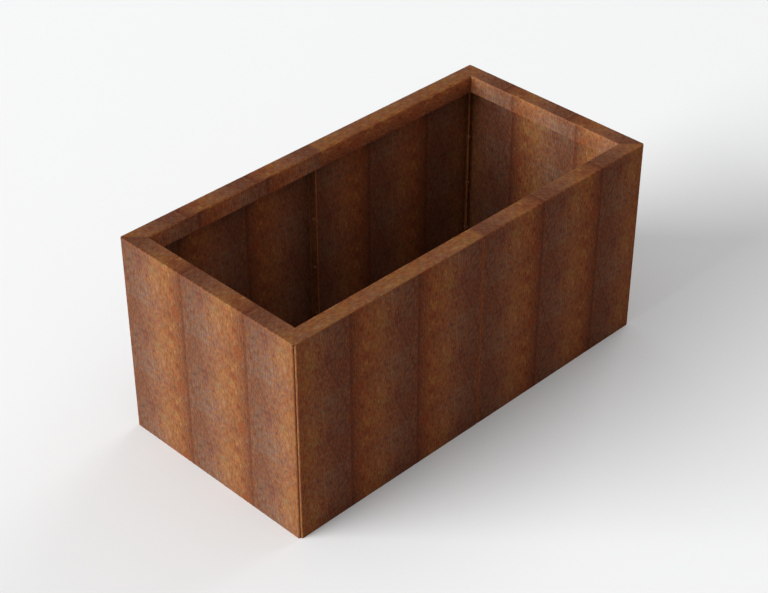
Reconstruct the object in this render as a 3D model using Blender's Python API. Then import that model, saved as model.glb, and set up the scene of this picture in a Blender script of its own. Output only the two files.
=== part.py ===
"""Planter box of weathering steel, in metres, +Z up.

Six folded panels stand on the ground: one for each end and two for each long side. Every panel is one
sheet folded into a wall, a flat rim and a lip that hangs inside the rim. The panels are bolted together
through flanges that turn inwards, on the diagonal at the four corners and square to the wall at the
middle of the long sides. Two drained trays lie on the ground inside the walls and make the base. The
origin is on the ground, at the centre of the footprint, and X runs along the length.
"""

import math

import bmesh
import bpy
from mathutils import Matrix, Vector

# Driving dimensions
LENGTH = 2.000
WIDTH = 1.000
HEIGHT = 0.930
SHEET = 0.003            # thickness of the steel
FOLD = 0.006             # outside radius of every fold
RIM = 0.082              # from the outer face of the wall to the visible face of the lip
LIP = 0.080              # from the top of the rim to the lower edge of the lip
FLANGE = 0.045           # from the outer face, or the outer corner, to the free edge of a flange
GAP = 0.0003             # clearance between pieces that touch
RELIEF = 0.001           # notch between an upright fold and the level fold above it
CORNER_TIP = 0.011       # from the corner to where the rim's outer fold starts
CORNER_EASE = 0.00025    # taken off the mitre at that fold, so that its inner side is clear too

# M8 bolts and nuts
BOLT_ROWS = 4
BOLT_FIRST = 0.075       # height of the lowest bolt
BOLT_PITCH = 0.2475
BOLT_INSET = 0.030       # from the outer face, or the outer corner, to the bolt
BOLT_RADIUS = 0.004
BOLT_LENGTH = 0.016
HEAD_HEIGHT = 0.0053
HEAD_CHAMFER = 0.0008
NUT_HEIGHT = 0.0068
ACROSS_FLATS = 0.013
THREAD_CLEARANCE = 0.00032
HOLE_RADIUS = 0.0046

# Base trays
TRAY_EDGE = 0.025        # height of the turned-up edges
TRAY_CLEARANCE = 0.005   # from the inner face of a wall
TRAY_CORNER = 0.070      # legs of the cut corner that passes the diagonal flanges
TRAY_NOTCH = 0.052       # how far the middle edge stops short, to pass the square flanges
DRAIN_RADIUS = 0.011
DRAINS = (4, 3)          # rows along and across each tray

LEVEL_STEPS = 5          # facets of a 90 degree fold
CORNER_STEPS = 8         # facets of the 135 degree fold at a corner
ROUND_SIDES = 12         # facets of holes, shanks and nuts
SHARP_ANGLE = 40         # degrees between facets that stay a visible edge

# Worked out from the driving dimensions
SIDE_SPAN = LENGTH / 2   # each long side has two panels in line
CORNER_TANGENT = FOLD * math.tan(math.radians(135 / 2))
CORNER_SHIFT = GAP / math.sqrt(2)
JOINT_SHIFT = GAP / 2
DRILL_DEPTH = 6 * SHEET
HEXAGON_CORNER = 1 / math.cos(math.radians(30))   # corner radius of a hexagon over half its width
ZERO = 1e-6


def clear_scene():
    for obj in list(bpy.data.objects):
        bpy.data.objects.remove(obj)


def material(name, colour, roughness, metallic):
    mat = bpy.data.materials.new(name)
    mat.use_nodes = True
    shader = mat.node_tree.nodes["Principled BSDF"]
    shader.inputs["Base Color"].default_value = (*colour, 1)
    shader.inputs["Roughness"].default_value = roughness
    shader.inputs["Metallic"].default_value = metallic
    return mat


def add_object(name, mesh, mat=None, place=Matrix.Identity(4)):
    obj = bpy.data.objects.new(name, mesh)
    bpy.context.scene.collection.objects.link(obj)
    obj.matrix_world = place
    if mat:
        obj.data.materials.clear()
        obj.data.materials.append(mat)
    return obj


def only_edges(geometry):
    return [item for item in geometry if isinstance(item, bmesh.types.BMEdge)]


def fold(bm, edges, centre, axis, degrees, steps):
    """Carries the free edges of a sheet round an axis and returns the new free edges."""
    swept = bmesh.ops.spin(bm, geom=edges, cent=centre, axis=axis, angle=math.radians(degrees), steps=steps)
    return only_edges(swept["geom_last"])


def run(bm, edges, step):
    """Carries the free edges of a sheet straight on and returns the new free edges."""
    made = bmesh.ops.extrude_edge_only(bm, edges=edges)["geom"]
    points = [item for item in made if isinstance(item, bmesh.types.BMVert)]
    bmesh.ops.translate(bm, vec=Vector(step), verts=points)
    return [edge for edge in only_edges(made) if all(v in points for v in edge.verts)]


def chain(bm, points):
    return [bm.edges.get(pair) or bm.edges.new(pair) for pair in zip(points, points[1:])]


def corner_cut(depth):
    """How far from the corner the rim and its folds start, at a depth from the outer face."""
    if depth < FOLD + ZERO:
        return FOLD + CORNER_SHIFT + CORNER_EASE + (CORNER_TIP - FOLD) * (1 - depth / FOLD)
    return depth + CORNER_SHIFT


def panel_mesh(name, span, ends):
    """Outer side of a folded panel. Its wall lies in y = 0 and faces -Y, and it spans x = 0 to span.

    ends says what the left and the right end are: a corner or a joint with the next panel in line.
    """
    bm = bmesh.new()
    insets = [CORNER_TANGENT + CORNER_SHIFT if end == "corner" else FOLD + JOINT_SHIFT for end in ends]
    wall = (insets[0], span - insets[1])
    heights = (0, HEIGHT - FOLD - RELIEF, HEIGHT - FOLD)
    grid = [[bm.verts.new((x, 0, z)) for z in heights] for x in wall]
    for left, left_up, right_up, right in zip(grid[0], grid[0][1:], grid[1][1:], grid[1]):
        bm.faces.new((left, left_up, right_up, right))

    # The rim's outer fold runs on past the upright folds, to the joint or nearly to the corner
    starts = [corner_cut(0) if end == "corner" else JOINT_SHIFT for end in ends]
    left_end = bm.verts.new((starts[0], 0, heights[-1]))
    right_end = bm.verts.new((span - starts[1], 0, heights[-1]))
    edges = chain(bm, (left_end, grid[0][-1], grid[1][-1], right_end))
    edges = fold(bm, edges, (0, FOLD, HEIGHT - FOLD), (1, 0, 0), -90, LEVEL_STEPS)
    edges = run(bm, edges, (0, RIM - 2 * FOLD, 0))
    edges = fold(bm, edges, (0, RIM - FOLD, HEIGHT - FOLD), (1, 0, 0), -90, LEVEL_STEPS)
    run(bm, edges, (0, 0, FOLD - LIP))
    for vert in bm.verts:
        shift = corner_cut(vert.co.y) - corner_cut(0)
        if ends[0] == "corner" and vert.co.x < wall[0] + ZERO:
            vert.co.x += shift
        if ends[1] == "corner" and vert.co.x > wall[1] - ZERO:
            vert.co.x -= shift

    for side, end in enumerate(ends):
        turn = 1 if side else -1
        edges = chain(bm, grid[side][:2])
        pivot = (wall[side], FOLD, 0)
        if end == "corner":
            edges = fold(bm, edges, pivot, (0, 0, 1), turn * 135, CORNER_STEPS)
            reach = (FLANGE - CORNER_TANGENT - JOINT_SHIFT) / math.sqrt(2)
            run(bm, edges, (-turn * reach, reach, 0))
        else:
            edges = fold(bm, edges, pivot, (0, 0, 1), turn * 90, LEVEL_STEPS)
            run(bm, edges, (0, FLANGE - FOLD, 0))

    bmesh.ops.recalc_face_normals(bm, faces=bm.faces)
    bm.faces.ensure_lookup_table()
    if bm.faces[0].normal.y > 0:
        bmesh.ops.reverse_faces(bm, faces=bm.faces)
    mesh = bpy.data.meshes.new(name)
    bm.to_mesh(mesh)
    bm.free()
    return mesh


def bolt_heights():
    return [BOLT_FIRST + row * BOLT_PITCH for row in range(BOLT_ROWS)]


def drill_mesh(name, places, radius):
    """Round cutters of one radius, each along the local Z of its place."""
    bm = bmesh.new()
    for place in places:
        bmesh.ops.create_cone(bm, cap_ends=True, segments=ROUND_SIDES, radius1=radius, radius2=radius,
                              depth=DRILL_DEPTH, matrix=place)
    mesh = bpy.data.meshes.new(name)
    bm.to_mesh(mesh)
    bm.free()
    return mesh


def thicken(obj):
    sheet = obj.modifiers.new("sheet", "SOLIDIFY")
    sheet.thickness = SHEET
    sheet.offset = -1
    sheet.use_even_offset = True


def drill(obj, places, radius):
    cutter = add_object(obj.name + "_drill", drill_mesh(obj.name + "_drill", places, radius))
    cutter.parent = obj
    cutter.hide_render = True
    cutter.display_type = "WIRE"
    holes = obj.modifiers.new("holes", "BOOLEAN")
    holes.object = cutter
    holes.operation = "DIFFERENCE"
    holes.solver = "EXACT"


def lying(point, direction):
    """A place at a point whose local Z lies along a level direction, and whose local X is upright."""
    z = Vector(direction).normalized()
    x = Vector((0, 0, 1))
    y = z.cross(x)
    place = Matrix((x, y, z)).transposed().to_4x4()
    place.translation = Vector(point)
    return place


def end_hole(span, end, side, height):
    """Place of a flange hole in the panel's own frame."""
    turn = 1 if side else -1
    x = span if side else 0
    if end == "corner":
        inset = BOLT_INSET / math.sqrt(2)
        return lying((x - turn * inset, inset, height), (1, turn, 0))
    return lying((x, BOLT_INSET, height), (1, 0, 0))


def flange_holes(span, ends):
    return [end_hole(span, end, side, z) for side, end in enumerate(ends) for z in bolt_heights()]


def turned(angle, x, y):
    return Matrix.Translation((x, y, 0)) @ Matrix.Rotation(math.radians(angle), 4, "Z")


def make_panels(mat):
    """Each panel stands where its left end is, seen from outside."""
    kinds = {
        "left_hand": (SIDE_SPAN, ("corner", "joint")),
        "right_hand": (SIDE_SPAN, ("joint", "corner")),
        "end": (WIDTH, ("corner", "corner")),
    }
    half_l, half_w = LENGTH / 2, WIDTH / 2
    places = (
        ("front_panel_left", "left_hand", turned(0, -half_l, -half_w)),
        ("front_panel_right", "right_hand", turned(0, 0, -half_w)),
        ("back_panel_right", "left_hand", turned(180, half_l, half_w)),
        ("back_panel_left", "right_hand", turned(180, 0, half_w)),
        ("end_panel_left", "end", turned(-90, -half_l, half_w)),
        ("end_panel_right", "end", turned(90, half_l, -half_w)),
    )
    meshes = {kind: panel_mesh("panel_" + kind, *shape) for kind, shape in kinds.items()}
    for name, kind, place in places:
        panel = add_object(name, meshes[kind], mat, place)
        thicken(panel)
        drill(panel, flange_holes(*kinds[kind]), HOLE_RADIUS)


def ring(bm, z, radius, hexagon=False):
    """Twelve points at a height: a circle, or a hexagon with a point at the middle of each side."""
    points = []
    for step in range(ROUND_SIDES):
        angle = math.tau * step / ROUND_SIDES
        reach = radius * HEXAGON_CORNER if hexagon and step % 2 == 0 else radius
        points.append(bm.verts.new((reach * math.cos(angle), reach * math.sin(angle), z)))
    return points


def skin(bm, rings):
    for low, high in zip(rings, rings[1:]):
        for i in range(ROUND_SIDES):
            j = (i + 1) % ROUND_SIDES
            bm.faces.new((low[i], low[j], high[j], high[i]))


def finish_turned(bm, name):
    bmesh.ops.recalc_face_normals(bm, faces=bm.faces)
    mesh = bpy.data.meshes.new(name)
    bm.to_mesh(mesh)
    bm.free()
    mesh.shade_smooth()
    mesh.set_sharp_from_angle(angle=math.radians(SHARP_ANGLE))
    return mesh


def bolt_mesh():
    """The joint's middle plane is z = 0, and the head is on its +Z side."""
    bm = bmesh.new()
    seat = GAP / 2 + SHEET + GAP
    top = seat + HEAD_HEIGHT
    flats = ACROSS_FLATS / 2
    rings = [
        ring(bm, seat - BOLT_LENGTH, BOLT_RADIUS),
        ring(bm, seat, BOLT_RADIUS),
        ring(bm, seat, flats, hexagon=True),
        ring(bm, top - HEAD_CHAMFER, flats, hexagon=True),
        ring(bm, top, flats - HEAD_CHAMFER),
    ]
    skin(bm, rings)
    bm.faces.new(rings[0])
    bm.faces.new(rings[-1])
    return finish_turned(bm, "bolt")


def nut_mesh():
    bm = bmesh.new()
    seat = -(GAP / 2 + SHEET + GAP)
    flats = ACROSS_FLATS / 2
    bore = BOLT_RADIUS + THREAD_CLEARANCE
    rings = [
        ring(bm, seat, bore),
        ring(bm, seat, flats, hexagon=True),
        ring(bm, seat - NUT_HEIGHT, flats, hexagon=True),
        ring(bm, seat - NUT_HEIGHT, bore),
    ]
    skin(bm, rings + rings[:1])
    return finish_turned(bm, "nut")


def bolted_joints():
    """Name, plan position and bolt direction of the six flange joints."""
    corner = BOLT_INSET / math.sqrt(2)
    for row, side in (("front", -1), ("back", 1)):
        y = side * WIDTH / 2
        for end, across in (("left", -1), ("right", 1)):
            x = across * LENGTH / 2
            yield f"{row}_{end}", (x - across * corner, y - side * corner), (-1, side * across, 0)
        yield f"{row}_middle", (0, y - side * BOLT_INSET), (-1, 0, 0)


def make_fasteners(mat):
    bolt, nut = bolt_mesh(), nut_mesh()
    for joint, (x, y), direction in bolted_joints():
        for row, z in enumerate(bolt_heights(), 1):
            place = lying((x, y, z), direction)
            add_object(f"bolt_{joint}_{row}", bolt, mat, place)
            add_object(f"nut_{joint}_{row}", nut, mat, place)


def tray_mesh():
    """Under side of the left tray: its middle edge is at x = 0, and its floor is at z = 0."""
    bm = bmesh.new()
    outer_x = -(LENGTH / 2 - SHEET - TRAY_CLEARANCE - FOLD)
    outer_y = WIDTH / 2 - SHEET - TRAY_CLEARANCE - FOLD
    inner_x = -(JOINT_SHIFT + FOLD)
    notch_x = inner_x - FOLD
    notch_y = outer_y - TRAY_NOTCH
    half = [
        (inner_x, notch_y),
        (notch_x, notch_y),
        (notch_x, outer_y),
        (outer_x + TRAY_CORNER, outer_y),
        (outer_x, outer_y - TRAY_CORNER),
    ]
    outline = half + [(x, -y) for x, y in reversed(half)]
    points = [bm.verts.new((x, y, 0)) for x, y in outline]
    bm.faces.new(points)
    sides = (
        (points[2], points[3], (0, outer_y, FOLD), (1, 0, 0)),
        (points[6], points[7], (0, -outer_y, FOLD), (-1, 0, 0)),
        (points[4], points[5], (outer_x, 0, FOLD), (0, 1, 0)),
        (points[9], points[0], (inner_x, 0, FOLD), (0, -1, 0)),
    )
    for start, end, centre, axis in sides:
        edges = fold(bm, chain(bm, (start, end)), centre, axis, 90, LEVEL_STEPS)
        run(bm, edges, (0, 0, TRAY_EDGE - FOLD))
    bmesh.ops.recalc_face_normals(bm, faces=bm.faces)
    bm.faces.ensure_lookup_table()
    if bm.faces[0].normal.z > 0:
        bmesh.ops.reverse_faces(bm, faces=bm.faces)
    mesh = bpy.data.meshes.new("tray")
    bm.to_mesh(mesh)
    bm.free()
    return mesh


def drain_places():
    along, across = DRAINS
    spots = []
    for i in range(along):
        for j in range(across):
            x = -(i + 0.5) * SIDE_SPAN / along
            y = (j + 0.5) * WIDTH / across - WIDTH / 2
            spots.append(Matrix.Translation((x, y, SHEET / 2)))
    return spots


def make_trays(mat):
    mesh = tray_mesh()
    for name, angle in (("base_tray_left", 0), ("base_tray_right", 180)):
        tray = add_object(name, mesh, mat, turned(angle, 0, 0))
        thicken(tray)
        drill(tray, drain_places(), DRAIN_RADIUS)


def main():
    clear_scene()
    steel = material("weathering_steel", colour=(0.17, 0.067, 0.03), roughness=0.8, metallic=0.1)
    tray_steel = material("tray_steel", colour=(0.10, 0.04, 0.02), roughness=0.85, metallic=0.1)
    zinc = material("zinc_plated_steel", colour=(0.55, 0.53, 0.50), roughness=0.35, metallic=1.0)
    make_panels(steel)
    make_fasteners(zinc)
    make_trays(tray_steel)


main()
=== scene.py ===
"""Looks of a planter box of weathering steel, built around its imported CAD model.

Each panel is folded again from one surface, as in the CAD model but with finer folds, rounded cut edges,
narrower clearances and a layout on the rust pattern. The rust repeats every TILE metres with visible
borders, and each surface lies in the pattern at its own place and way round.
"""

import math

import bmesh
import bpy
from mathutils import Matrix, Vector


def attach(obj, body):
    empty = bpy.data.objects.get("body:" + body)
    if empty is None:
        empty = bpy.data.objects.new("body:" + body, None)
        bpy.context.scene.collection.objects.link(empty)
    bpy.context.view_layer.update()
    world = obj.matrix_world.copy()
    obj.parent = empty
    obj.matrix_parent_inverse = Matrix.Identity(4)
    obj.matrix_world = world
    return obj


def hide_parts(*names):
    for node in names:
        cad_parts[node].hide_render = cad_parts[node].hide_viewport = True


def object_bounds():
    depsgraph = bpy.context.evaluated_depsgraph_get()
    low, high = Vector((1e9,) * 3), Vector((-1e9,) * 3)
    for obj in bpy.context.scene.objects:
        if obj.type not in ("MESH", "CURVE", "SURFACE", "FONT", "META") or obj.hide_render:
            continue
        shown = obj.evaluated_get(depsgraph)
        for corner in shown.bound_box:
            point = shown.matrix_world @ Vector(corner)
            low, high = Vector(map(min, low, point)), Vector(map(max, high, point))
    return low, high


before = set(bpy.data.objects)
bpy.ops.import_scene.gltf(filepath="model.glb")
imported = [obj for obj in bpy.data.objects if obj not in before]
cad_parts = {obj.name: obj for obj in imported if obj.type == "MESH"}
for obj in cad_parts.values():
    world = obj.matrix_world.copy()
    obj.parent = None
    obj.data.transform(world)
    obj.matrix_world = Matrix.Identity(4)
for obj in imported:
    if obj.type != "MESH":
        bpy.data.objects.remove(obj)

CAD_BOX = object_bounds()
LENGTH, WIDTH, HEIGHT = (CAD_BOX[1][axis] - CAD_BOX[0][axis] for axis in range(3))

# Sheet metal, in metres. The lengths are those of the CAD model, apart from the clearance
SHEET = 0.003            # thickness of the steel
FOLD = 0.006             # outside radius of every fold
RIM = 0.082              # from the outer face of the wall to the visible face of the lip
LIP = 0.080              # from the top of the rim to the lower edge of the lip
FLANGE = 0.045           # from the outer face, or the outer corner, to the free edge of a flange
GAP = 0.00005            # clearance between neighbours, too narrow to see light through
RELIEF = 0.001           # notch between an upright fold and the level fold above it
CORNER_TIP = 0.011       # from the corner to where the rim's outer fold starts
CORNER_EASE = 0.00025    # taken off the mitre at that fold, so that its inner side is clear too
CORNER_TURN = 135        # degrees by which a wall turns into a corner flange
CORNER_TANGENT = FOLD * math.tan(math.radians(CORNER_TURN / 2))    # from the corner to that fold's start
CORNER_SHIFT = GAP / math.sqrt(2)    # from the corner's diagonal to a panel, measured along the wall
JOINT_SHIFT = GAP / 2                # from the plane of a joint to a panel
SIDE_SPAN = LENGTH / 2               # length of a side panel
ZERO = 1e-6                          # tolerance in comparing two lengths

# Finish of the sheets
LEVEL_STEPS = 12         # facets of a 90 degree fold
CORNER_STEPS = 18        # facets of the fold into a corner flange
FOLD_WEAR_AND_HIGHLIGHT = 0.4          # how strongly the crest of a fold is tinted, from 0 to 1: edge wear and a painted highlight
JOINT_WEAR_AND_HIGHLIGHT = 1           # the same at the upright folds of the middle joints, raised there to paint a bright highlight line down each joint
CUT_ROUND = 0.0004       # rounding of the cut edges
CUT_STEPS = 2            # facets of that rounding
CUT_ANGLE = 50           # degrees from which an edge counts as cut
DRILL_DEPTH = 6 * SHEET
HOLE_SIDES = 40

# M8 bolts and nuts
BOLT_ROWS = 4
BOLT_FIRST = 0.075       # height of the lowest bolt
BOLT_PITCH = 0.2475      # from one bolt to the next above it
BOLT_INSET = 0.030       # from the outer face, or the outer corner, to the bolt
CORNER_INSET = BOLT_INSET / math.sqrt(2)    # the same at a corner, measured along X or Y
HOLE_RADIUS = 0.0046     # of the holes in the flanges
BOLT_SEAT = GAP / 2 + SHEET + GAP           # from the middle of a joint to a bolt's head or a nut
BOLT_RADIUS = 0.004
BOLT_LENGTH = 0.016      # under the head
HEAD_HEIGHT = 0.0053
NUT_HEIGHT = 0.0068
ACROSS_FLATS = 0.013
FACE_RADIUS = 0.475 * ACROSS_FLATS          # where a hexagon's chamfer starts
CHAMFER_ANGLE = 30       # degrees
DISH_RADIUS = 0.36 * ACROSS_FLATS           # of the hollow on top of a bolt's head
DISH_DEPTH = 0.0002
BORE_RADIUS = 0.00432    # of a nut
BORE_LEAD = 0.0004       # chamfer at each end of the bore
THREAD_LENGTH = BOLT_LENGTH - HEAD_HEIGHT
THREAD_PITCH = 0.00125
THREAD_DEPTH = 0.0007
THREAD_STEPS = 6         # rings of points in a turn of thread
ROUND_SIDES = 48
SHARP_ANGLE = 25         # degrees from which an edge of a fastener is shaded sharp

# Base trays
TRAY_EDGE = 0.025        # height of the upturned edge
TRAY_CLEARANCE = 0.005   # from the inner face of a wall
TRAY_CORNER = 0.070      # legs of the cut corner that passes the corner flanges
TRAY_NOTCH = 0.052       # how far the middle edge stops short, to pass the flanges there
DRAIN_RADIUS = 0.011
DRAINS = (4, 3)          # rows of drain holes along and across each tray

# The rust pattern. A surface's layout gives where its columns and its rows start, in metres along the
# panel and up it, and which way they run
TILE = 0.363
LAYOUTS = {
    "left_hand": {"outside": ((SIDE_SPAN, -1), (0.989, -1)), "inside": ((SIDE_SPAN, -1), (-0.0575, 1))},
    "right_hand": {"outside": ((0, 1), (-0.0605, 1)), "inside": ((0, 1), (0.992, -1))},
    "end": {"outside": ((0.0075, 1), (-0.053, 1)), "inside": ((0.0105, 1), (0.983, -1))},
}
LIP_START = -0.057       # where the lip's columns start, in metres from the start of the wall's
CROSS_RIM = 0.52         # tile column in which a rim with its grain lengthways starts
CROSS_START = 0.012      # where its rows start, in metres along the panel
FLANGE_START = 0.50      # tile column in which a flange starts, at its fold
FACING = 0.7             # a face looks along an axis if more of its unit normal than this lies along it

# Studio. The key light is cool on the planter and white on the floor
PLANTER = bpy.data.collections.new("planter")
GROUND = bpy.data.collections.new("ground")
LIGHT_REACH = 100        # distance of the lights
FLOOR_REACH = 60         # half the width of the floor
WHITE = (1, 1, 1)
COOL = (1.0, 1.21, 1.43)
WORLD_STRENGTH = 0.375
COMBINED_CURVE = 3       # index of the tone curve that acts on all three colours
TOE_DEPTH = 0.23         # share by which the tone curve lowers black's neighbours
TOE_REACH = 0.0525       # linear light at which that share has fallen to a third
TOE_POINTS = (0.01, 0.02, 0.035, 0.06, 0.10, 0.20)

# Camera, in metres and degrees, with its lens and sensor in millimetres
CAMERA_PLACE = (-4.4261, -4.3889, 4.8003)
CAMERA_ANGLES = (54.763, 0.034, -44.955)
CAMERA_LENS = 85.24
CAMERA_SENSOR = 36
CAMERA_CLIP = 200


def turned(angle, x, y):
    """A place on the ground, turned about Z by an angle in degrees."""
    return Matrix.Translation((x, y, 0)) @ Matrix.Rotation(math.radians(angle), 4, "Z")


# ---------------------------------------------------------------- sheet metal

def only_edges(geometry):
    return [item for item in geometry if isinstance(item, bmesh.types.BMEdge)]


def fold(bm, edges, centre, axis, degrees, steps, wear_and_highlight=FOLD_WEAR_AND_HIGHLIGHT):
    """Carries the free edges of a sheet round an axis, marks its crest for the tint of edge wear and
    painted highlight, and returns the new free edges.
    """
    crest = bm.verts.layers.float["fold"]
    for step in range(1, steps + 1):
        angle = math.radians(degrees / steps)
        swept = bmesh.ops.spin(bm, geom=edges, cent=centre, axis=axis, angle=angle, steps=1)
        edges = only_edges(swept["geom_last"])
        for edge in edges:
            for vert in edge.verts:
                vert[crest] = wear_and_highlight * math.sin(math.pi * step / steps)
    return edges


def run(bm, edges, step):
    """Carries the free edges of a sheet straight on and returns the new free edges."""
    made = bmesh.ops.extrude_edge_only(bm, edges=edges)["geom"]
    points = [item for item in made if isinstance(item, bmesh.types.BMVert)]
    crest = bm.verts.layers.float["fold"]
    for point in points:
        point[crest] = 0
    bmesh.ops.translate(bm, vec=Vector(step), verts=points)
    return [edge for edge in only_edges(made) if all(v in points for v in edge.verts)]


def chain(bm, points):
    """The edges that join points in turn, new where there is none yet."""
    return [bm.edges.get(pair) or bm.edges.new(pair) for pair in zip(points, points[1:])]


def new_sheet():
    bm = bmesh.new()
    bm.verts.layers.float.new("fold")
    return bm


def sheet_mesh(bm, name, outwards):
    """Turns every face of the sheet the way that the first face has to look."""
    bmesh.ops.recalc_face_normals(bm, faces=bm.faces)
    bm.faces.ensure_lookup_table()
    if bm.faces[0].normal.dot(Vector(outwards)) < 0:
        bmesh.ops.reverse_faces(bm, faces=bm.faces)
    mesh = bpy.data.meshes.new(name)
    bm.to_mesh(mesh)
    bm.free()
    return mesh


def corner_cut(depth):
    """How far from the corner the rim and its folds start, at a depth from the outer face."""
    if depth < FOLD + ZERO:
        return FOLD + CORNER_SHIFT + CORNER_EASE + (CORNER_TIP - FOLD) * (1 - depth / FOLD)
    return depth + CORNER_SHIFT


def panel_surface(name, span, ends):
    """Outer side of a folded panel. Its wall lies in y = 0 and faces -Y, and it spans x = 0 to span."""
    bm = new_sheet()
    insets = [CORNER_TANGENT + CORNER_SHIFT if end == "corner" else FOLD + JOINT_SHIFT for end in ends]
    wall = (insets[0], span - insets[1])
    heights = (0, HEIGHT - FOLD - RELIEF, HEIGHT - FOLD)
    grid = [[bm.verts.new((x, 0, z)) for z in heights] for x in wall]
    for left, left_up, right_up, right in zip(grid[0], grid[0][1:], grid[1][1:], grid[1]):
        bm.faces.new((left, left_up, right_up, right))

    # The rim's outer fold runs on past the upright folds, to the joint or nearly to the corner
    starts = [corner_cut(0) if end == "corner" else JOINT_SHIFT for end in ends]
    left_end = bm.verts.new((starts[0], 0, heights[-1]))
    right_end = bm.verts.new((span - starts[1], 0, heights[-1]))
    edges = chain(bm, (left_end, grid[0][-1], grid[1][-1], right_end))
    edges = fold(bm, edges, (0, FOLD, HEIGHT - FOLD), (1, 0, 0), -90, LEVEL_STEPS)
    edges = run(bm, edges, (0, RIM - 2 * FOLD, 0))
    edges = fold(bm, edges, (0, RIM - FOLD, HEIGHT - FOLD), (1, 0, 0), -90, LEVEL_STEPS)
    run(bm, edges, (0, 0, FOLD - LIP))
    for vert in bm.verts:
        shift = corner_cut(vert.co.y) - corner_cut(0)
        if ends[0] == "corner" and vert.co.x < wall[0] + ZERO:
            vert.co.x += shift
        if ends[1] == "corner" and vert.co.x > wall[1] - ZERO:
            vert.co.x -= shift

    for side, end in enumerate(ends):
        turn = 1 if side else -1
        edges = chain(bm, grid[side][:2])
        pivot = (wall[side], FOLD, 0)
        if end == "corner":
            edges = fold(bm, edges, pivot, (0, 0, 1), turn * CORNER_TURN, CORNER_STEPS)
            reach = (FLANGE - CORNER_TANGENT - JOINT_SHIFT) / math.sqrt(2)
            run(bm, edges, (-turn * reach, reach, 0))
        else:
            # The middle joint's upright fold gets a stronger crest tint, a painted highlight line down the
            # joint
            edges = fold(bm, edges, pivot, (0, 0, 1), turn * 90, LEVEL_STEPS, wear_and_highlight=JOINT_WEAR_AND_HIGHLIGHT)
            run(bm, edges, (0, FLANGE - FOLD, 0))
    return sheet_mesh(bm, name, (0, -1, 0))


def tray_surface(name):
    """Under side of the left tray: its middle edge is at x = 0, and its floor is at z = 0."""
    bm = new_sheet()
    outer_x = -(LENGTH / 2 - SHEET - TRAY_CLEARANCE - FOLD)
    outer_y = WIDTH / 2 - SHEET - TRAY_CLEARANCE - FOLD
    inner_x = -(JOINT_SHIFT + FOLD)
    notch_x = inner_x - FOLD
    notch_y = outer_y - TRAY_NOTCH
    half = [
        (inner_x, notch_y),
        (notch_x, notch_y),
        (notch_x, outer_y),
        (outer_x + TRAY_CORNER, outer_y),
        (outer_x, outer_y - TRAY_CORNER),
    ]
    outline = half + [(x, -y) for x, y in reversed(half)]
    points = [bm.verts.new((x, y, 0)) for x, y in outline]
    bm.faces.new(points)

    # Start and end of the long, outer and middle edges, with the axis that each folds up about
    sides = (
        (points[2], points[3], (0, outer_y, FOLD), (1, 0, 0)),
        (points[6], points[7], (0, -outer_y, FOLD), (-1, 0, 0)),
        (points[4], points[5], (outer_x, 0, FOLD), (0, 1, 0)),
        (points[9], points[0], (inner_x, 0, FOLD), (0, -1, 0)),
    )
    for start, end, centre, axis in sides:
        edges = fold(bm, chain(bm, (start, end)), centre, axis, 90, LEVEL_STEPS)
        run(bm, edges, (0, 0, TRAY_EDGE - FOLD))
    return sheet_mesh(bm, name, (0, 0, -1))


def lying(point, direction):
    """A place at a point whose local Z lies along a level direction, and whose local X is upright."""
    z = Vector(direction).normalized()
    x = Vector((0, 0, 1))
    y = z.cross(x)
    place = Matrix((x, y, z)).transposed().to_4x4()
    place.translation = Vector(point)
    return place


def bolt_heights():
    return [BOLT_FIRST + row * BOLT_PITCH for row in range(BOLT_ROWS)]


def flange_holes(span, ends):
    """Places of the flange holes in the panel's own frame."""
    for side, end in enumerate(ends):
        turn = 1 if side else -1
        x = span if side else 0
        for height in bolt_heights():
            if end == "corner":
                yield lying((x - turn * CORNER_INSET, CORNER_INSET, height), (1, turn, 0))
            else:
                yield lying((x, BOLT_INSET, height), (1, 0, 0))


def drain_places():
    """Places of the left tray's drain holes, evenly spread."""
    along, across = DRAINS
    for i in range(along):
        for j in range(across):
            x = -(i + 0.5) * SIDE_SPAN / along
            y = (j + 0.5) * WIDTH / across - WIDTH / 2
            yield Matrix.Translation((x, y, SHEET / 2))


def finished_sheet(surface, holes, radius):
    """Thickens a surface, drills it and rounds its cut edges. Those edges take the second material."""
    obj = bpy.data.objects.new(surface.name, surface)
    bpy.context.scene.collection.objects.link(obj)
    surface.materials.append(None)
    surface.materials.append(None)

    bm = bmesh.new()
    for place in holes:
        bmesh.ops.create_cone(bm, cap_ends=True, segments=HOLE_SIDES, radius1=radius, radius2=radius,
                              depth=DRILL_DEPTH, matrix=place)
    drill_mesh = bpy.data.meshes.new(surface.name + "_drill")
    bm.to_mesh(drill_mesh)
    bm.free()
    drill = bpy.data.objects.new(drill_mesh.name, drill_mesh)
    bpy.context.scene.collection.objects.link(drill)

    sheet = obj.modifiers.new("sheet", "SOLIDIFY")
    sheet.thickness = SHEET
    sheet.offset = -1
    sheet.use_even_offset = True
    sheet.material_offset_rim = 1
    cut = obj.modifiers.new("holes", "BOOLEAN")
    cut.object = drill
    cut.operation = "DIFFERENCE"
    cut.solver = "EXACT"
    edges = obj.modifiers.new("edges", "BEVEL")
    edges.width = CUT_ROUND
    edges.segments = CUT_STEPS
    edges.limit_method = "ANGLE"
    edges.angle_limit = math.radians(CUT_ANGLE)
    normals = obj.modifiers.new("normals", "WEIGHTED_NORMAL")
    normals.keep_sharp = True

    evaluated = obj.evaluated_get(bpy.context.evaluated_depsgraph_get())
    mesh = bpy.data.meshes.new_from_object(evaluated)
    mesh.name = surface.name + "_sheet"
    bpy.data.objects.remove(drill)
    bpy.data.objects.remove(obj)
    return mesh


# ---------------------------------------------------------------- layout on the rust pattern

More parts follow.
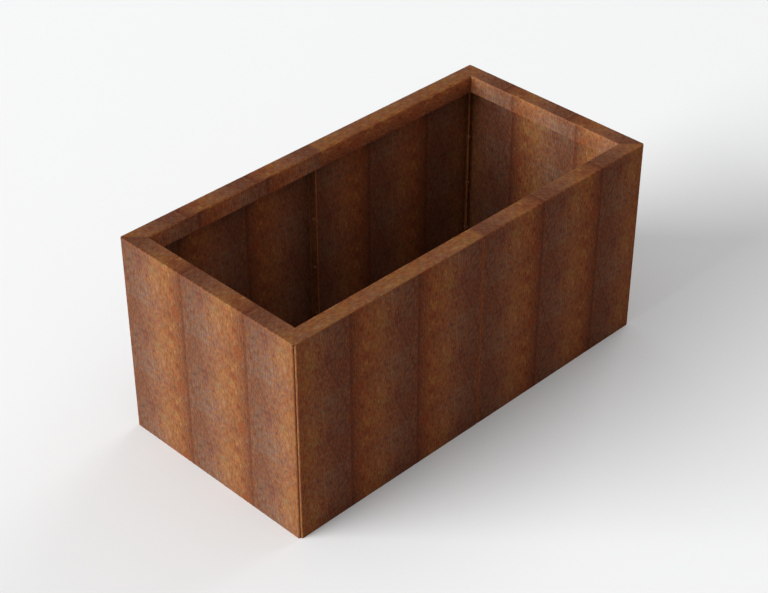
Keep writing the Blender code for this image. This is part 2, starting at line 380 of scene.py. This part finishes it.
def surface_of(centre, normal):
    """Which surface of a panel a face belongs to, in the panel's own frame."""
    if abs(normal.z) > FACING and centre.z > HEIGHT / 2:
        return "rim"
    if centre.y > RIM - FOLD and centre.z > HEIGHT / 2:
        return "lip"
    if centre.y > FOLD or abs(normal.y) < FACING:
        return "flange"
    return "outside" if normal.y < 0 else "inside"


def panel_uv(kind, surface, point):
    """Place in the rust pattern, in tiles, of a point of a surface."""
    (column, across), (row, up) = LAYOUTS[kind]["inside" if surface == "inside" else "outside"]
    lengthways = kind == "left_hand"
    if surface in ("rim", "lip") and lengthways:
        depth = point.y if surface == "rim" else RIM + HEIGHT - point.z
        return CROSS_RIM + depth / TILE, (point.x - CROSS_START) / TILE
    u = across * (point.x - column)
    if surface == "rim":
        return u / TILE, up * (HEIGHT + point.y - row) / TILE
    if surface == "lip":
        return (u - LIP_START) / TILE, up * (HEIGHT + RIM + HEIGHT - point.z - row) / TILE
    if surface == "flange":
        return FLANGE_START + point.y / TILE, up * (point.z - row) / TILE
    return u / TILE, up * (point.z - row) / TILE


def lay_out(mesh, place_in_pattern):
    """Gives each point of each face its place in the rust pattern."""
    layer = mesh.uv_layers.new(name="rust")
    for face in mesh.polygons:
        for loop in face.loop_indices:
            point = mesh.vertices[mesh.loops[loop].vertex_index].co
            layer.data[loop].uv = place_in_pattern(face, point)


def lay_out_panel(mesh, kind):
    def place(face, point):
        return panel_uv(kind, surface_of(face.center, face.normal), point)
    lay_out(mesh, place)


def lay_out_tray(mesh):
    def place(face, point):
        if abs(face.normal.z) > FACING:
            return point.x / TILE, point.y / TILE
        return (point.x + point.y) / TILE, point.z / TILE
    lay_out(mesh, place)


# ---------------------------------------------------------------- materials

class Graph:
    """A material's nodes. Most methods add one node and return what it puts out."""

    def __init__(self, name):
        self.material = bpy.data.materials.new(name)
        self.material.use_nodes = True
        self.tree = self.material.node_tree
        self.shader = self.tree.nodes["Principled BSDF"]

    def feed(self, entry, value):
        if isinstance(value, bpy.types.NodeSocket):
            self.tree.links.new(value, entry)
        else:
            entry.default_value = value

    def add(self, kind, **settings):
        node = self.tree.nodes.new(kind)
        for name, value in settings.items():
            setattr(node, name, value)
        return node

    def math(self, operation, a, b=0.0, c=0.0, clamp=False):
        node = self.add("ShaderNodeMath", operation=operation, use_clamp=clamp)
        for entry, value in zip(node.inputs, (a, b, c)):
            self.feed(entry, value)
        return node.outputs[0]

    def vector(self, x, y, z=0.0):
        node = self.add("ShaderNodeCombineXYZ")
        for entry, value in zip(node.inputs, (x, y, z)):
            self.feed(entry, value)
        return node.outputs[0]

    def split(self, vector):
        node = self.add("ShaderNodeSeparateXYZ")
        self.feed(node.inputs[0], vector)
        return node.outputs[0], node.outputs[1]

    def uv(self, name):
        return self.add("ShaderNodeUVMap", uv_map=name).outputs[0]

    def attribute(self, name):
        return self.add("ShaderNodeAttribute", attribute_name=name).outputs["Fac"]

    def noise(self, vector, scale=1.0, detail=2.0, rough=0.5):
        node = self.add("ShaderNodeTexNoise", noise_dimensions="3D")
        self.feed(node.inputs["Vector"], vector)
        for name, value in (("Scale", scale), ("Detail", detail), ("Roughness", rough)):
            self.feed(node.inputs[name], value)
        return node.outputs["Fac"]

    def span(self, value, low, high, to_low=0.0, to_high=1.0, smooth=True):
        """Maps low..high to to_low..to_high and holds the ends."""
        node = self.add("ShaderNodeMapRange", interpolation_type="SMOOTHSTEP" if smooth else "LINEAR")
        for entry, item in zip(node.inputs, (value, low, high, to_low, to_high)):
            self.feed(entry, item)
        return node.outputs[0]

    def ramp(self, value, stops):
        node = self.add("ShaderNodeValToRGB")
        elements = node.color_ramp.elements
        while len(elements) < len(stops):
            elements.new(0.5)
        for element, (position, colour) in zip(elements, stops):
            element.position = position
            element.color = (*colour, 1)
        self.feed(node.inputs[0], value)
        return node.outputs[0]

    def mix(self, amount, a, b, blend="MIX"):
        """Mixes two colours, whose sockets are 6 and 7. The mixed colour is output 2."""
        node = self.add("ShaderNodeMix", data_type="RGBA", blend_type=blend, clamp_factor=True)
        for index, value in ((0, amount), (6, a), (7, b)):
            value = (*value, 1) if isinstance(value, tuple) else value
            self.feed(node.inputs[index], value)
        return node.outputs[2]

    def tinted(self, colour, tint):
        """The colour multiplied by a tint."""
        return self.mix(1.0, colour, tint, "MULTIPLY")

    def bump(self, height, distance, strength, under=None):
        node = self.add("ShaderNodeBump")
        self.feed(node.inputs["Height"], height)
        self.feed(node.inputs["Distance"], distance)
        self.feed(node.inputs["Strength"], strength)
        if under:
            self.feed(node.inputs["Normal"], under)
        return node.outputs[0]


# Linear colours of the rust from the left of a tile to its right
RUST_STOPS = (
    (0.00, (0.113, 0.0394, 0.0188)),
    (0.10, (0.108, 0.0385, 0.0190)),
    (0.30, (0.121, 0.0437, 0.0219)),
    (0.45, (0.145, 0.0524, 0.0237)),
    (0.60, (0.159, 0.0558, 0.0220)),
    (0.76, (0.156, 0.0517, 0.0186)),
    (0.88, (0.132, 0.0419, 0.0161)),
    (1.00, (0.084, 0.0241, 0.0109)),
)

# Soft patches of a tile: column and distance from the top, half width and half height, and tint
PATCHES = (
    ((0.27, 0.86), (0.24, 0.26), (1.00, 1.16, 1.24)),
    ((0.14, 0.48), (0.14, 0.18), (0.95, 1.06, 1.14)),
    ((0.11, 0.20), (0.14, 0.16), (1.00, 0.97, 0.94)),
    ((0.31, 0.45), (0.05, 0.16), (0.90, 0.84, 0.86)),
    ((0.63, 0.25), (0.07, 0.10), (1.08, 1.12, 0.93)),
    ((0.54, 0.47), (0.10, 0.13), (1.06, 1.18, 1.03)),
    ((0.55, 0.66), (0.22, 0.14), (1.09, 1.12, 1.06)),
    ((0.80, 0.05), (0.07, 0.10), (1.04, 1.10, 1.01)),
    ((0.79, 0.17), (0.07, 0.07), (0.88, 0.79, 0.81)),
    ((0.80, 0.31), (0.10, 0.08), (1.14, 1.20, 1.03)),
    ((0.72, 0.50), (0.07, 0.08), (1.07, 1.08, 0.91)),
    ((0.83, 0.58), (0.06, 0.10), (0.94, 0.86, 0.84)),
    ((0.91, 0.40), (0.04, 0.08), (0.96, 1.08, 1.20)),
    ((0.88, 0.84), (0.10, 0.09), (1.02, 0.86, 0.80)),
    ((0.70, 0.95), (0.12, 0.08), (0.87, 0.85, 0.94)),
    ((0.96, 0.96), (0.07, 0.08), (0.98, 1.14, 1.30)),
    ((0.05, 0.95), (0.10, 0.08), (1.04, 1.10, 1.13)),
    ((0.50, 0.92), (0.16, 0.12), (0.98, 1.02, 1.12)),
)

# Streaky noises of the rust: width and length of a streak in metres, slant, layer of the noise and detail
STREAKS = {
    "clouds": (0.0300, 0.0420, 0.15, 1.3, 2),
    "scale": (0.0072, 0.0210, 0.15, 4.1, 3),
    "crust": (0.0092, 0.0240, -0.10, 7.7, 3),
    "bloom": (0.0110, 0.0300, 0.05, 12.9, 3),
    "drips": (0.0034, 0.0600, 0.03, 17.3, 2),
    "grains": (0.0011, 0.0015, 0.0, 9.2, 2),
}
STREAK_ROUGHNESS = 0.6
NOISE_RANGE = (0.3, 0.7)     # most of a noise lies between these

# Tints of each noise at its low and its high end
WASHES = {
    "clouds": ((0.86, 0.82, 0.82), (1.14, 1.18, 1.18)),
    "scale": ((0.75, 0.64, 0.69), (1.25, 1.36, 1.27)),
    "crust": ((0.93, 1.05, 1.32), (1.07, 0.95, 0.68)),
    "bloom": ((1.04, 0.84, 0.86), (0.96, 1.16, 1.14)),
    "drips": ((0.90, 0.88, 0.88), (1.10, 1.12, 1.12)),
    "grains": ((0.82, 0.82, 0.82), (1.18, 1.18, 1.18)),
}

# Other looks of the rust. A bump is a distance in metres and a strength
WANDER = 0.9                 # how strongly the crust moves the colours sideways
RAGGED = 2.2                 # how strongly the crust breaks up the edges of the patches
PATCH_EDGE = (0.35, 1.25)    # where a patch starts to fade and where it ends, in its half sizes
# Brighter orange on the crests of the folds: edge wear and a painted highlight
CREST_WEAR_AND_HIGHLIGHT_TINT = (1.45, 1.30, 1.00)
CUT_EDGE_TINT = (1.25, 1.05, 0.85)
TRAY_TINT = (0.75, 0.74, 0.78)
TRAY_EDGE_TINT = (0.95, 0.85, 0.75)
RUST_SPECULAR = 0.07
CLOUD_ROUGHNESS = (0.82, 0.92)
SCALE_ROUGHNESS = (0.08, -0.08)
FLAKE_BUMP = (0.0007, 0.6)
PIT_BUMP = (0.00025, 0.5)

# Linear colours of the rust that has run over the fasteners, from thin to thick
ZINC_STAINS = (
    (0.30, (0.125, 0.046, 0.0190)),
    (0.55, (0.200, 0.076, 0.0310)),
    (0.75, (0.280, 0.120, 0.0540)),
)

# Zinc plate. Its noises are given by how many cells they have in a metre
STAIN_SCALE = 320
GRAIN_SCALE = 1500
BARE_SCALE = 140
BARE_EDGE = (0.56, 0.74)     # where the noise starts to bare the metal, and where it has bared it
BARE_SHARE = 0.45            # how much of the stain is off there
BARE_COLOUR = (0.36, 0.25, 0.17)
ZINC_METALLIC = (0.05, 0.40)
ZINC_ROUGHNESS = (0.52, 0.70)
ZINC_BUMP = (0.00005, 0.5)

FLOOR_COLOUR = (0.775, 0.780, 0.783, 1)
FLOOR_ROUGHNESS = 0.9


def tile_place(graph):
    """Place in the tile, from 0 to 1 across and down, and in metres from its lower left corner."""
    u, v = graph.split(graph.uv("rust"))
    across = graph.math("FRACT", u)
    up = graph.math("FRACT", v)
    down = graph.math("SUBTRACT", 1.0, up)
    metres = graph.vector(graph.math("MULTIPLY", across, TILE), graph.math("MULTIPLY", up, TILE))
    return across, down, metres


def streaks(graph, metres, width, length, slant, layer, detail):
    """Noise in streaks of a width and a length. Each layer gives another pattern."""
    x, y = graph.split(metres)
    leaning = graph.math("MULTIPLY_ADD", y, slant, x)
    across = graph.math("MULTIPLY", leaning, 1 / width)
    along = graph.math("MULTIPLY", y, 1 / length)
    return graph.noise(graph.vector(across, along, layer), detail=detail, rough=STREAK_ROUGHNESS)


def patch_mask(graph, across, down, centre, size, ragged):
    """1 at the middle of a soft patch, 0 outside it, with an edge that the rust's unevenness breaks up."""
    dx = graph.math("MULTIPLY", graph.math("SUBTRACT", across, centre[0]), 1 / size[0])
    dy = graph.math("MULTIPLY", graph.math("SUBTRACT", down, centre[1]), 1 / size[1])
    squares = graph.math("ADD", graph.math("MULTIPLY", dx, dx), graph.math("MULTIPLY", dy, dy))
    reach = graph.math("SQRT", squares)
    return graph.span(graph.math("ADD", reach, ragged), *PATCH_EDGE, 1.0, 0.0)


def rust(name, tint=None):
    """Weathering steel. tint multiplies the colour."""
    graph = Graph(name)
    across, down, metres = tile_place(graph)
    noises = {kind: streaks(graph, metres, *shape) for kind, shape in STREAKS.items()}
    swing = graph.math("SUBTRACT", noises["crust"], 0.5)

    # The colours stay in place at a tile's border, where the wander falls to nothing
    from_border = graph.math("MULTIPLY", across, graph.math("SUBTRACT", 1.0, across))
    wander = graph.math("MULTIPLY", swing, graph.math("MULTIPLY", from_border, WANDER))
    colour = graph.ramp(graph.math("ADD", across, wander, clamp=True), RUST_STOPS)
    ragged = graph.math("MULTIPLY", swing, RAGGED)
    for centre, size, patch_tint in PATCHES:
        mask = patch_mask(graph, across, down, centre, size, ragged)
        colour = graph.mix(mask, colour, graph.tinted(colour, patch_tint))

    for kind, (low_tint, high_tint) in WASHES.items():
        amount = graph.span(noises[kind], *NOISE_RANGE, smooth=False)
        colour = graph.tinted(colour, graph.mix(amount, low_tint, high_tint))
    # Tints the crests of the folds brighter orange: edge wear and a painted highlight
    colour = graph.mix(graph.attribute("fold"), colour, graph.tinted(colour, CREST_WEAR_AND_HIGHLIGHT_TINT))
    if tint:
        colour = graph.tinted(colour, tint)
    graph.feed(graph.shader.inputs["Base Color"], colour)

    fine = graph.span(noises["scale"], *NOISE_RANGE, *SCALE_ROUGHNESS)
    broad = graph.span(noises["clouds"], *NOISE_RANGE, *CLOUD_ROUGHNESS)
    graph.feed(graph.shader.inputs["Roughness"], graph.math("ADD", fine, broad))
    graph.feed(graph.shader.inputs["Specular IOR Level"], RUST_SPECULAR)
    flakes = graph.bump(noises["scale"], *FLAKE_BUMP)
    pits = graph.bump(noises["grains"], *PIT_BUMP, under=flakes)
    graph.feed(graph.shader.inputs["Normal"], pits)
    return graph.material


def zinc(name):
    """Zinc plate that the rust around it has stained all over, with a little bare metal left."""
    graph = Graph(name)
    place = graph.add("ShaderNodeTexCoord").outputs["Object"]
    stain = graph.ramp(graph.noise(place, STAIN_SCALE, detail=3, rough=0.6), ZINC_STAINS)
    grain = graph.noise(place, GRAIN_SCALE)
    bare = graph.span(graph.noise(place, BARE_SCALE, detail=4, rough=0.65), *BARE_EDGE)
    colour = graph.mix(graph.math("MULTIPLY", bare, BARE_SHARE), stain, BARE_COLOUR)
    graph.feed(graph.shader.inputs["Base Color"], colour)
    graph.feed(graph.shader.inputs["Metallic"], graph.span(bare, 0.0, 1.0, *ZINC_METALLIC))
    graph.feed(graph.shader.inputs["Roughness"], graph.span(grain, *NOISE_RANGE, *ZINC_ROUGHNESS))
    graph.feed(graph.shader.inputs["Normal"], graph.bump(grain, *ZINC_BUMP))
    return graph.material


def floor_material():
    """A pale floor, cool enough to offset part of the warm light that the rust throws on it."""
    graph = Graph("floor")
    graph.feed(graph.shader.inputs["Base Color"], FLOOR_COLOUR)
    graph.feed(graph.shader.inputs["Roughness"], FLOOR_ROUGHNESS)
    graph.feed(graph.shader.inputs["Specular IOR Level"], 0.0)
    return graph.material


# ---------------------------------------------------------------- fasteners

def ring(bm, radius, height):
    """Points round Z. radius and height are numbers, or functions of the angle."""
    points = []
    for step in range(ROUND_SIDES):
        angle = math.tau * step / ROUND_SIDES
        r = radius(angle) if callable(radius) else radius
        z = height(angle) if callable(height) else height
        points.append(bm.verts.new((r * math.cos(angle), r * math.sin(angle), z)))
    return points


def skin(bm, rings):
    """Faces between each ring of points and the next."""
    for low, high in zip(rings, rings[1:]):
        for i in range(ROUND_SIDES):
            j = (i + 1) % ROUND_SIDES
            bm.faces.new((low[i], low[j], high[j], high[i]))


def hexagon(angle):
    """Reach of a hexagon at an angle, with a corner at angle 0."""
    sixth = math.tau / 6
    return ACROSS_FLATS / 2 / math.cos(angle % sixth - sixth / 2)


def chamfered(height, towards):
    """Edge height of a hexagon whose end is turned to a cone."""
    slope = towards * math.tan(math.radians(CHAMFER_ANGLE))

    def edge(angle):
        return height - slope * (hexagon(angle) - FACE_RADIUS)
    return edge


def turned_mesh(bm, name):
    bmesh.ops.recalc_face_normals(bm, faces=bm.faces)
    mesh = bpy.data.meshes.new(name)
    bm.to_mesh(mesh)
    bm.free()
    mesh.shade_smooth()
    mesh.set_sharp_from_angle(angle=math.radians(SHARP_ANGLE))
    return mesh


def thread_radius(height):
    """Radius of the thread as a function of the angle, at a height above the bolt's tip."""
    turns = height / THREAD_PITCH
    start = min(1, turns)

    def radius(angle):
        phase = (turns - angle / math.tau) % 1
        groove = abs(2 * phase - 1)
        return BOLT_RADIUS - THREAD_DEPTH * (1 - start * (1 - groove))
    return radius


def bolt_mesh():
    """The joint's middle plane is z = 0, and the head is on its +Z side."""
    bm = bmesh.new()
    top = BOLT_SEAT + HEAD_HEIGHT
    tip = BOLT_SEAT - BOLT_LENGTH
    steps = round(THREAD_LENGTH / THREAD_PITCH * THREAD_STEPS)
    heights = [THREAD_LENGTH * step / steps for step in range(steps + 1)]
    rings = [ring(bm, thread_radius(height), tip + height) for height in heights]
    rings += [
        ring(bm, BOLT_RADIUS, tip + THREAD_LENGTH + THREAD_PITCH / 2),
        ring(bm, BOLT_RADIUS, BOLT_SEAT),
        ring(bm, hexagon, BOLT_SEAT),
        ring(bm, hexagon, chamfered(top, 1)),
        ring(bm, FACE_RADIUS, top),
        ring(bm, DISH_RADIUS, top - DISH_DEPTH),
    ]
    skin(bm, rings)
    bm.faces.new(rings[0])
    bm.faces.new(rings[-1])
    return turned_mesh(bm, "bolt")


def nut_mesh():
    """The nut that belongs to the bolt, on the -Z side of the joint."""
    bm = bmesh.new()
    seat = -BOLT_SEAT
    end = seat - NUT_HEIGHT
    rings = [
        ring(bm, BORE_RADIUS, seat - BORE_LEAD),
        ring(bm, BORE_RADIUS + BORE_LEAD, seat),
        ring(bm, FACE_RADIUS, seat),
        ring(bm, hexagon, chamfered(seat, 1)),
        ring(bm, hexagon, chamfered(end, -1)),
        ring(bm, FACE_RADIUS, end),
        ring(bm, BORE_RADIUS + BORE_LEAD, end),
        ring(bm, BORE_RADIUS, end + BORE_LEAD),
    ]
    skin(bm, rings + rings[:1])
    return turned_mesh(bm, "nut")


def bolted_joints():
    """Name, plan position and bolt direction of the six flange joints."""
    for row, side in (("front", -1), ("back", 1)):
        y = side * WIDTH / 2
        for end, across in (("left", -1), ("right", 1)):
            x = across * LENGTH / 2
            plan = (x - across * CORNER_INSET, y - side * CORNER_INSET)
            yield f"{row}_{end}", plan, (-1, side * across, 0)
        yield f"{row}_middle", (0, y - side * BOLT_INSET), (-1, 0, 0)


# ---------------------------------------------------------------- pieces

def show(node, mesh, place):
    """Adds a piece that stands for one CAD node."""
    piece = bpy.data.objects.new(node + "_look", mesh)
    bpy.context.scene.collection.objects.link(piece)
    PLANTER.objects.link(piece)
    piece.matrix_world = place
    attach(piece, "root")
    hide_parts(node)


def make_panels(skin_material, cut_material):
    kinds = {
        "left_hand": (SIDE_SPAN, ("corner", "joint")),
        "right_hand": (SIDE_SPAN, ("joint", "corner")),
        "end": (WIDTH, ("corner", "corner")),
    }
    half_l, half_w = LENGTH / 2, WIDTH / 2
    places = (
        ("front_panel_left", "left_hand", turned(0, -half_l, -half_w)),
        ("front_panel_right", "right_hand", turned(0, 0, -half_w)),
        ("back_panel_right", "left_hand", turned(180, half_l, half_w)),
        ("back_panel_left", "right_hand", turned(180, 0, half_w)),
        ("end_panel_left", "end", turned(-90, -half_l, half_w)),
        ("end_panel_right", "end", turned(90, half_l, -half_w)),
    )
    meshes = {}
    for kind, (span, ends) in kinds.items():
        surface = panel_surface("panel_" + kind, span, ends)
        mesh = finished_sheet(surface, flange_holes(span, ends), HOLE_RADIUS)
        lay_out_panel(mesh, kind)
        mesh.materials[0] = skin_material
        mesh.materials[1] = cut_material
        meshes[kind] = mesh
    for node, kind, place in places:
        show(node, meshes[kind], place)


def make_trays(skin_material, cut_material):
    mesh = finished_sheet(tray_surface("tray"), drain_places(), DRAIN_RADIUS)
    lay_out_tray(mesh)
    mesh.materials[0] = skin_material
    mesh.materials[1] = cut_material
    for node, angle in (("base_tray_left", 0), ("base_tray_right", 180)):
        show(node, mesh, turned(angle, 0, 0))


def make_fasteners(material):
    bolt, nut = bolt_mesh(), nut_mesh()
    bolt.materials.append(material)
    nut.materials.append(material)
    for joint, (x, y), direction in bolted_joints():
        for row, z in enumerate(bolt_heights(), 1):
            place = lying((x, y, z), direction)
            show(f"bolt_{joint}_{row}", bolt, place)
            show(f"nut_{joint}_{row}", nut, place)


# ---------------------------------------------------------------- studio

def make_floor():
    mesh = bpy.data.meshes.new("floor")
    reach = FLOOR_REACH
    corners = [(-reach, -reach, 0), (reach, -reach, 0), (reach, reach, 0), (-reach, reach, 0)]
    mesh.from_pydata(corners, [], [(0, 1, 2, 3)])
    mesh.materials.append(floor_material())
    floor = bpy.data.objects.new("floor", mesh)
    bpy.context.scene.collection.objects.link(floor)
    GROUND.objects.link(floor)


def area_light(name, shape, size, strength, place, receivers=None):
    """A flat light that the camera doesn't see. It shines down until it is turned.

    size is its width and depth, and receivers is the collection that it lights, or None for everything.
    """
    width, depth = size
    area = width * depth * (math.pi / 4 if shape == "DISK" else 1)
    lamp = bpy.data.lights.new(name, "AREA")
    lamp.shape = shape
    lamp.size = width
    lamp.size_y = depth
    lamp.energy = strength * area * math.pi
    obj = bpy.data.objects.new(name, lamp)
    bpy.context.scene.collection.objects.link(obj)
    obj.light_linking.receiver_collection = receivers
    obj.location = place
    obj.visible_camera = False
    return obj


def softbox(name, azimuths, elevations, strength, colour=WHITE, receivers=None):
    """A far rectangle of light between two azimuths and two elevations, in degrees, facing the planter."""
    azimuth = math.radians(sum(azimuths) / 2)
    half = math.radians((azimuths[1] - azimuths[0]) / 2)
    low, high = (LIGHT_REACH * math.tan(math.radians(angle)) for angle in elevations)
    size = (2 * LIGHT_REACH * math.tan(half), high - low)
    away = Vector((math.cos(azimuth), math.sin(azimuth), 0))
    place = LIGHT_REACH * away + Vector((0, 0, (low + high) / 2))
    light = area_light(name, "RECTANGLE", size, strength, place, receivers)
    light.data.color = colour
    light.rotation_euler = away.to_track_quat("Z", "Y").to_euler()


def overhead(name, elevation, strength):
    """A disc of light overhead that reaches down to an elevation, in degrees."""
    size = 2 * LIGHT_REACH / math.tan(math.radians(elevation))
    area_light(name, "DISK", (size, size), strength, (0, 0, LIGHT_REACH))


def inner_fill(name, strength):
    """A weak sheet of light in the planter's mouth that shines down on its inner faces."""
    size = (LENGTH - 2 * RIM, WIDTH - 2 * RIM)
    area_light(name, "RECTANGLE", size, strength, (0, 0, HEIGHT), receivers=PLANTER)


def make_light():
    softbox("key", azimuths=(134, 188), elevations=(0, 33.9), strength=11.7, colour=COOL,
            receivers=PLANTER)
    softbox("key_on_floor", azimuths=(134, 182.2), elevations=(0, 33.9), strength=14.0,
            receivers=GROUND)
    softbox("rim", azimuths=(-15.5, 30.2), elevations=(22, 34.4), strength=6.4)
    overhead("top", elevation=47, strength=0.25)
    inner_fill("inside", strength=0.70)
    world = bpy.data.worlds.new("studio")
    world.use_nodes = True
    backdrop = world.node_tree.nodes["Background"]
    backdrop.inputs["Color"].default_value = (*WHITE, 1)
    backdrop.inputs["Strength"].default_value = WORLD_STRENGTH
    bpy.context.scene.world = world


def make_tones():
    """Plain tones with a soft toe, which gives the shadows the deeper colour that a camera does."""
    view = bpy.context.scene.view_settings
    view.view_transform = "Standard"
    view.use_curve_mapping = True
    toe = view.curve_mapping.curves[COMBINED_CURVE]
    for light in TOE_POINTS:
        toe.points.new(light, light * (1 - TOE_DEPTH * math.exp(-(light / TOE_REACH) ** 2)))
    view.curve_mapping.update()


def make_camera():
    data = bpy.data.cameras.new("camera")
    data.sensor_width = CAMERA_SENSOR
    data.lens = CAMERA_LENS
    data.clip_end = CAMERA_CLIP
    camera = bpy.data.objects.new("camera", data)
    bpy.context.scene.collection.objects.link(camera)
    camera.location = CAMERA_PLACE
    camera.rotation_euler = [math.radians(angle) for angle in CAMERA_ANGLES]
    bpy.context.scene.camera = camera


make_camera()
make_panels(rust("rusted_skin"), rust("rusted_cut_edge", CUT_EDGE_TINT))
make_trays(rust("rusted_tray", TRAY_TINT), rust("rusted_tray_edge", TRAY_EDGE_TINT))
make_fasteners(zinc("zinc_plate"))
make_floor()
make_light()
make_tones()
